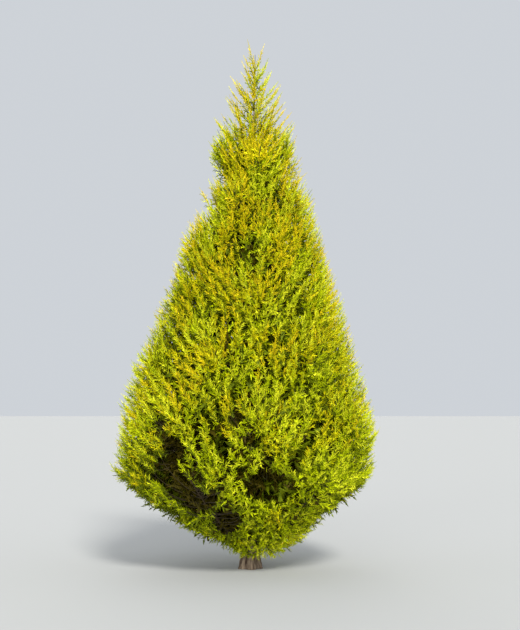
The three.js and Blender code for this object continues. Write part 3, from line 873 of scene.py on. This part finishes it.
def start_material(name):
    """A material, its empty tree, and the object coordinates that its patterns read."""
    made = bpy.data.materials.new(name)
    made.use_nodes = True
    made.node_tree.nodes.clear()
    return made, made.node_tree, node(made.node_tree, "ShaderNodeTexCoord").outputs["Object"]


def tinted(base, *shares):
    return (*(part * share for part, share in zip(base, shares)), 1)


def end_material(tree, share, stops, height, bump, surface):
    """Colours the share between two stops, raises the height in a bump and puts the surface out."""
    ramp = node(tree, "ShaderNodeValToRGB", links={"Fac": share})
    for element, (position, stop) in zip(ramp.color_ramp.elements, stops):
        element.position, element.color = position, stop
    raised = node(tree, "ShaderNodeBump", bump, {"Height": height})
    skin = node(tree, "ShaderNodeBsdfPrincipled", surface, {"Base Color": ramp, "Normal": raised})
    node(tree, "ShaderNodeOutputMaterial", links={"Surface": skin})


def bark_material(name, strips, furrows):
    """Cypress bark: thin, fibrous strips that weather from red brown to grey brown. It gives the eye
    fine upright fibres, lighter on the strips and darker and redder in the furrows, with no gloss."""
    made, tree, place = start_material(name)
    # Fibres about 4 mm wide and 60 mm long.
    fibre_map = node(tree, "ShaderNodeMapping", {"Scale": (250, 250, 16)}, {"Vector": place})
    fibre = node(tree, "ShaderNodeTexNoise", {"Scale": 1.0, "Detail": 3.0}, {"Vector": fibre_map})
    # Weathering in patches of about 140 mm.
    weather = node(tree, "ShaderNodeTexNoise", {"Scale": 7.0, "Detail": 2.0}, {"Vector": place})
    furrow = node(tree, "ShaderNodeAttribute", attribute_name="furrow").outputs["Fac"]
    strip = node(tree, "ShaderNodeMapRange", {"From Min": 0.38, "From Max": 0.6}, {"Value": furrow})
    whole, weathered = (
        node(tree, "ShaderNodeMath", {1: share}, {0: noise}, operation="MULTIPLY")
        for share, noise in ((0.9, fibre), (0.7, weather))
    )
    for more in (weathered, strip):
        whole = node(tree, "ShaderNodeMath", links={0: whole, 1: more}, operation="ADD")
    # Fibre and weathering average 0.8 between them, and the strip adds from 0 to 1.
    share = node(tree, "ShaderNodeMapRange", {"From Min": 0.75, "From Max": 1.75}, {"Value": whole})
    bump = {"Strength": 0.8, "Distance": 0.003}
    end_material(tree, share, ((0.0, furrows), (1.0, strips)), fibre, bump, {"Roughness": 0.92, "IOR": 1.45})
    return made


def twig_material(base):
    """Young cypress bark: smooth and red brown where it has lost its scale leaves. Its base colour is
    darkened as painted shade for the twigs inside the crown.
    """
    made, tree, place = start_material("young_bark")
    # Leaf scars and lenticels every 12 mm or so.
    mottle = node(tree, "ShaderNodeTexNoise", {"Scale": 85.0, "Detail": 2.0}, {"Vector": place})
    stops = ((0.35, tinted(base, 0.55, 0.5, 0.45)), (0.65, base))
    bump = {"Strength": 0.3, "Distance": 0.001}
    end_material(tree, mottle, stops, mottle, bump, {"Roughness": 0.8, "IOR": 1.45})
    return made


def scale_leaf_material(name, base):
    """Scale leaves pressed to their shoot: a waxy, finely beaded surface. It gives the eye a soft sheen
    and a fine mottling from scale to scale and from shoot to shoot."""
    made, tree, place = start_material(f"scale_leaves_{name}")
    # Real scales are 1.5 mm long. They are drawn 6 mm long here, as coarse as they need to show.
    scales = node(tree, "ShaderNodeTexNoise", {"Scale": 160.0, "Detail": 1.0}, {"Vector": place})
    # Older and younger shoots, every 20 mm or so.
    shoots = node(tree, "ShaderNodeTexNoise", {"Scale": 50.0, "Detail": 0.0}, {"Vector": place})
    both = node(tree, "ShaderNodeMath", links={0: scales, 1: shoots}, operation="ADD")
    half = node(tree, "ShaderNodeMath", {1: 0.5}, {0: both}, operation="MULTIPLY")
    lit = min(1.35, 0.98 / max(base[:3]))
    stops = ((0.36, tinted(base, 0.53, 0.6, 0.53)), (0.64, tinted(base, lit, lit * 0.985, lit)))
    wax = {"Roughness": 0.58, "IOR": 1.4, "Specular IOR Level": 0.12}
    end_material(tree, half, stops, scales, {"Strength": 0.25, "Distance": 0.001}, wax)
    return made


# Pieces


class CYPRESS_OT_stage(Operator):
    """Set the pale floor, the soft studio light and the camera"""

    bl_idname = "cypress.stage"
    bl_label = "Set the stage"

    def execute(self, context):
        settings = context.scene.cypress_stage
        scene = context.scene
        scene.view_settings.view_transform = "Standard"
        far, under = 400, -0.0005
        corners = [(-far, -far, under), (far, -far, under), (far, far, under), (-far, far, under)]
        floor = linked("floor", new_mesh("floor", corners, faces=[(0, 1, 2, 3)]))
        paint = bpy.data.materials.new("pale_floor")
        paint.use_nodes = True
        skin = paint.node_tree.nodes["Principled BSDF"].inputs
        skin["Base Color"].default_value = settings.floor_colour
        skin["Roughness"].default_value = 0.9
        floor.data.materials.append(paint)
        world = bpy.data.worlds.new("studio")
        world.use_nodes = True
        back = world.node_tree.nodes["Background"]
        back.inputs["Color"].default_value = settings.backdrop_colour
        back.inputs["Strength"].default_value = 0.85
        scene.world = world
        # The direction that each light comes from, its spread in degrees, its power and its tint.
        for name, at, spread, power, tint in (
            ("key_light", (2.6, -9.0, 7.2), 14, settings.key_power, (1.0, 0.98, 0.93)),
            ("fill_light", (-1.5, -10.0, 2.4), 40, settings.fill_power * 1.5, (0.97, 0.98, 1.0)),
            ("back_light", (-1.0, 9.0, 7.0), 40, settings.fill_power * 0.6, (1.0, 1.0, 1.0)),
        ):
            light = bpy.data.lights.new(name, "SUN")
            light.energy = power
            light.angle = math.radians(spread)
            light.color = tint
            turn = Vector(at).to_track_quat("Z", "Y").to_matrix().to_4x4()
            linked(name, light).matrix_world = Matrix.Translation(at) @ turn
        camera = bpy.data.cameras.new("camera")
        camera.sensor_fit = "VERTICAL"
        camera.sensor_height = SENSOR
        camera.sensor_width = SENSOR * FRAME_WIDTH / FRAME_HEIGHT
        camera.lens = FOCAL_PIXELS * SENSOR / FRAME_HEIGHT
        camera.clip_end = 1000
        scene.camera = linked("camera", camera)
        scene.camera.matrix_world = Matrix.Translation(EYE) @ Matrix.Rotation(math.pi / 2 + LOOK_UP, 4, "X")
        return {"FINISHED"}


# How much slower the grain runs along a trunk or limb than across it.
GRAIN_ALONG = 0.1


def grow_bark(name, tubes, settings, share, seed, finish, nodes):
    """One piece of bark on closed tubes, with shares of the strips' width and the furrows' depth. Each
    tube is its rings of points, where they lie in the grain, and each ring's strength of relief."""
    rings, grain, relief = zip(*tubes)
    faces, first = [], 0
    for ring in rings:
        rows, sides = ring.shape[:2]
        at = first + np.arange(rows * sides).reshape(rows, sides)
        beside = np.roll(at, -1, axis=1)
        faces.extend(np.stack([at[:-1], beside[:-1], beside[1:], at[1:]], -1).reshape(-1, 4).tolist())
        faces.extend([at[0, ::-1].tolist(), at[-1].tolist()])
        first += rows * sides
    mesh = new_mesh(f"{name}_base", np.concatenate(rings).reshape(-1, 3), faces=faces)
    set_attribute(mesh, "grain", "FLOAT_VECTOR", np.concatenate(grain))
    set_attribute(mesh, "relief", "FLOAT", np.repeat(np.concatenate(relief), sides))
    inputs = {
        "Strip width": settings.strip_width * share[0],
        "Furrow depth": settings.furrow_depth * share[1],
        "Seed": seed,
        "Material": finish,
    }
    grow_piece(name, mesh, bark_tree(), inputs, nodes, smooth=True)


class CYPRESS_OT_trunk(Operator):
    """Grow the trunk, with its root flare and its strips of bark"""

    bl_idname = "cypress.trunk"
    bl_label = "Grow the trunk"

    def execute(self, context):
        settings = context.scene.cypress_bark
        heights = np.concatenate([np.arange(0, 0.8, 0.01), np.arange(0.8, TRUNK_TOP, 0.06), [TRUNK_TOP]])
        angle = 2 * math.pi * np.arange(80) / 80
        rings, grain, relief = [], [], []
        for height in heights:
            across = trunk_radius(height)
            lobe = ROOT_LOBE_DEPTH * math.exp(-height / ROOT_FLARE_HEIGHT)
            radius = across * (1 + lobe * np.cos(ROOT_LOBES * angle + math.radians(20)))
            radius = radius - settings.furrow_depth * 0.3
            rings.append(trunk_axis(height) + radius[:, None] * level_at(angle))
            # The strips run up the trunk with a slight twist.
            grain.append(across * level_at(angle + height * 0.35) + UP * (height * GRAIN_ALONG))
            # The relief fades on the thin top and at the flat cut.
            relief.append(min(1.0, across / 0.06) * min(1.0, height / 0.01))
        finish = bark_material("weathered_bark", settings.strip_colour, settings.furrow_colour)
        tube = (np.array(rings), np.array(grain), relief)
        grow_bark("bark_trunk", [tube], settings, (1, 1), 3.0, finish, ["trunk"])
        return {"FINISHED"}


class CYPRESS_OT_limbs(Operator):
    """Grow the boughs, and carry each on as a limb through its mass of foliage"""

    bl_idname = "cypress.limbs"
    bl_label = "Grow the limbs"

    def execute(self, context):
        settings = context.scene.cypress_bark
        angle = 2 * math.pi * np.arange(10) / 10
        tubes = []
        for index, limb in enumerate(limbs):
            # From inside the trunk to the end, with a collar at the foot.
            start = from_pairs(TRUNK_TAPER, limb.foot[2]) * 0.6 / limb.length
            share = np.linspace(start, 0.97, 32)
            root = BOUGH_ROOT_RADIUS if limb.bare else STEM_RADIUS * limb.size
            middle = BOUGH_TIP_RADIUS if limb.bare else 0.75 * root
            places = [start, start + 0.05, max(limb.bare, 0.3), 0.97]
            girth = np.interp(share, places, [root * 1.25, root, middle, STEM_TIP_RADIUS])
            wide = girth[:, None, None]
            point, _, normal, binormal = limb.frame_at(share)
            rings = point[:, None] + turned(normal[:, None], binormal[:, None], angle) * wide
            # Each limb has its own stretch of grain.
            along = (share * limb.length * GRAIN_ALONG)[:, None, None] * UP
            grain = wide * level_at(angle) + (index, index, 0) + along
            tubes.append((rings, grain, np.minimum(1.0, girth / 0.03)))
        finish = bark_material("shaded_bark", settings.shaded_colour, settings.furrow_colour)
        boughs = [f"bough_{limb.name}" for limb in limbs if limb.bare]
        grow_bark("bark_limbs", tubes, settings, (0.5, 0.6), 9.0, finish, boughs)
        return {"FINISHED"}


class CYPRESS_OT_twigs(Operator):
    """Grow the twigs that run from the limbs to the tips of the plumes"""

    bl_idname = "cypress.twigs"
    bl_label = "Grow the twigs"

    def execute(self, context):
        settings = context.scene.cypress_bark
        plumes = grown()["plumes"]
        lines, girths = [], []
        for path, size in zip(plumes["path"], plumes["size"]):
            lines.append([path[0], path[3], path[5], path[8], path[10] * 0.6 + path[9] * 0.4])
            thick = settings.twig_radius * (0.6 + 0.4 * size)
            girths.append(np.linspace(thick, thick * 0.25, len(lines[-1])))
        # The stem of the leader.
        share = np.linspace(0, 0.93, 7)
        lines.append(leader_line[0] + (leader_line[1] - leader_line[0]) * share[:, None])
        girths.append(0.0098 * (1 - share) + 0.0018)
        points, edges = [], []
        for line in lines:
            edges.extend((k, k + 1) for k in range(len(points), len(points) + len(line) - 1))
            points.extend(line)
        mesh = new_mesh("twig_lines", points, edges)
        set_attribute(mesh, "girth", "FLOAT", np.concatenate(girths))
        inputs = {"Sides": 3, "Material": twig_material(settings.shaded_twig_colour)}
        grow_piece("bark_twigs", mesh, twig_tree(), inputs, FOLIAGE_NODES)
        return {"FINISHED"}


class CYPRESS_OT_sprays(Operator):
    """Set the old foliage, and the plumes' sprays of scale leaves, dealt out among the foliage colours"""

    bl_idname = "cypress.sprays"
    bl_label = "Set the sprays"

    def execute(self, context):
        settings, colours = context.scene.cypress_foliage, context.scene.cypress_colours
        kinds = bpy.data.collections.new("spray_kinds")
        for k in range(len(SHOOTS) * KINDS):
            kinds.objects.link(bpy.data.objects.new(f"kind_{k:02}", spray_mesh(k, settings)))
        finishes = {tone: scale_leaf_material(tone, getattr(colours, tone)) for tone in TONES}
        tree, foliage = spray_tree(), grown()
        for label in ("old", "sprays"):
            data = foliage[label]
            for k in np.unique(data["tone"]):
                chosen, tone = data["tone"] == k, TONES[k]
                mesh = new_mesh("points", data["place"][chosen])
                for key, data_type in SPRAY_ATTRIBUTES:
                    set_attribute(mesh, key, data_type, data[key][chosen])
                inputs = {"Sprays": kinds, "Material": finishes[tone]}
                grow_piece(f"{label}_{tone}", mesh, tree, inputs, FOLIAGE_NODES)
        for shape in kinds.objects:
            bpy.data.objects.remove(shape)
        bpy.data.collections.remove(kinds)
        return {"FINISHED"}


class CYPRESS_PT_panel(Panel):
    """The settings of the cypress and the steps that make it"""

    bl_label = "Golden cypress"
    bl_idname = "CYPRESS_PT_panel"
    bl_space_type = "VIEW_3D"
    bl_region_type = "UI"
    bl_category = "Cypress"

    def draw(self, context):
        for group in GROUPS:
            box = self.layout.box()
            settings = getattr(context.scene, group)
            for key in settings.__annotations__:
                box.prop(settings, key)
        for step in STEPS:
            self.layout.operator(step.bl_idname)


GROUPS = {
    "cypress_bark": BarkSettings,
    "cypress_foliage": FoliageSettings,
    "cypress_colours": FoliageColours,
    "cypress_stage": StageSettings,
}
STEPS = (CYPRESS_OT_stage, CYPRESS_OT_trunk, CYPRESS_OT_limbs, CYPRESS_OT_twigs, CYPRESS_OT_sprays)


def register():
    for made in (*GROUPS.values(), *STEPS, CYPRESS_PT_panel):
        bpy.utils.register_class(made)
    for name, group in GROUPS.items():
        setattr(bpy.types.Scene, name, PointerProperty(type=group))


def unregister():
    for name in GROUPS:
        delattr(bpy.types.Scene, name)
    for made in (CYPRESS_PT_panel, *reversed(STEPS), *reversed(GROUPS.values())):
        bpy.utils.unregister_class(made)


def main():
    register()
    for step in STEPS:
        getattr(bpy.ops.cypress, step.bl_idname.removeprefix("cypress."))()


if __name__ == "__main__":
    main()
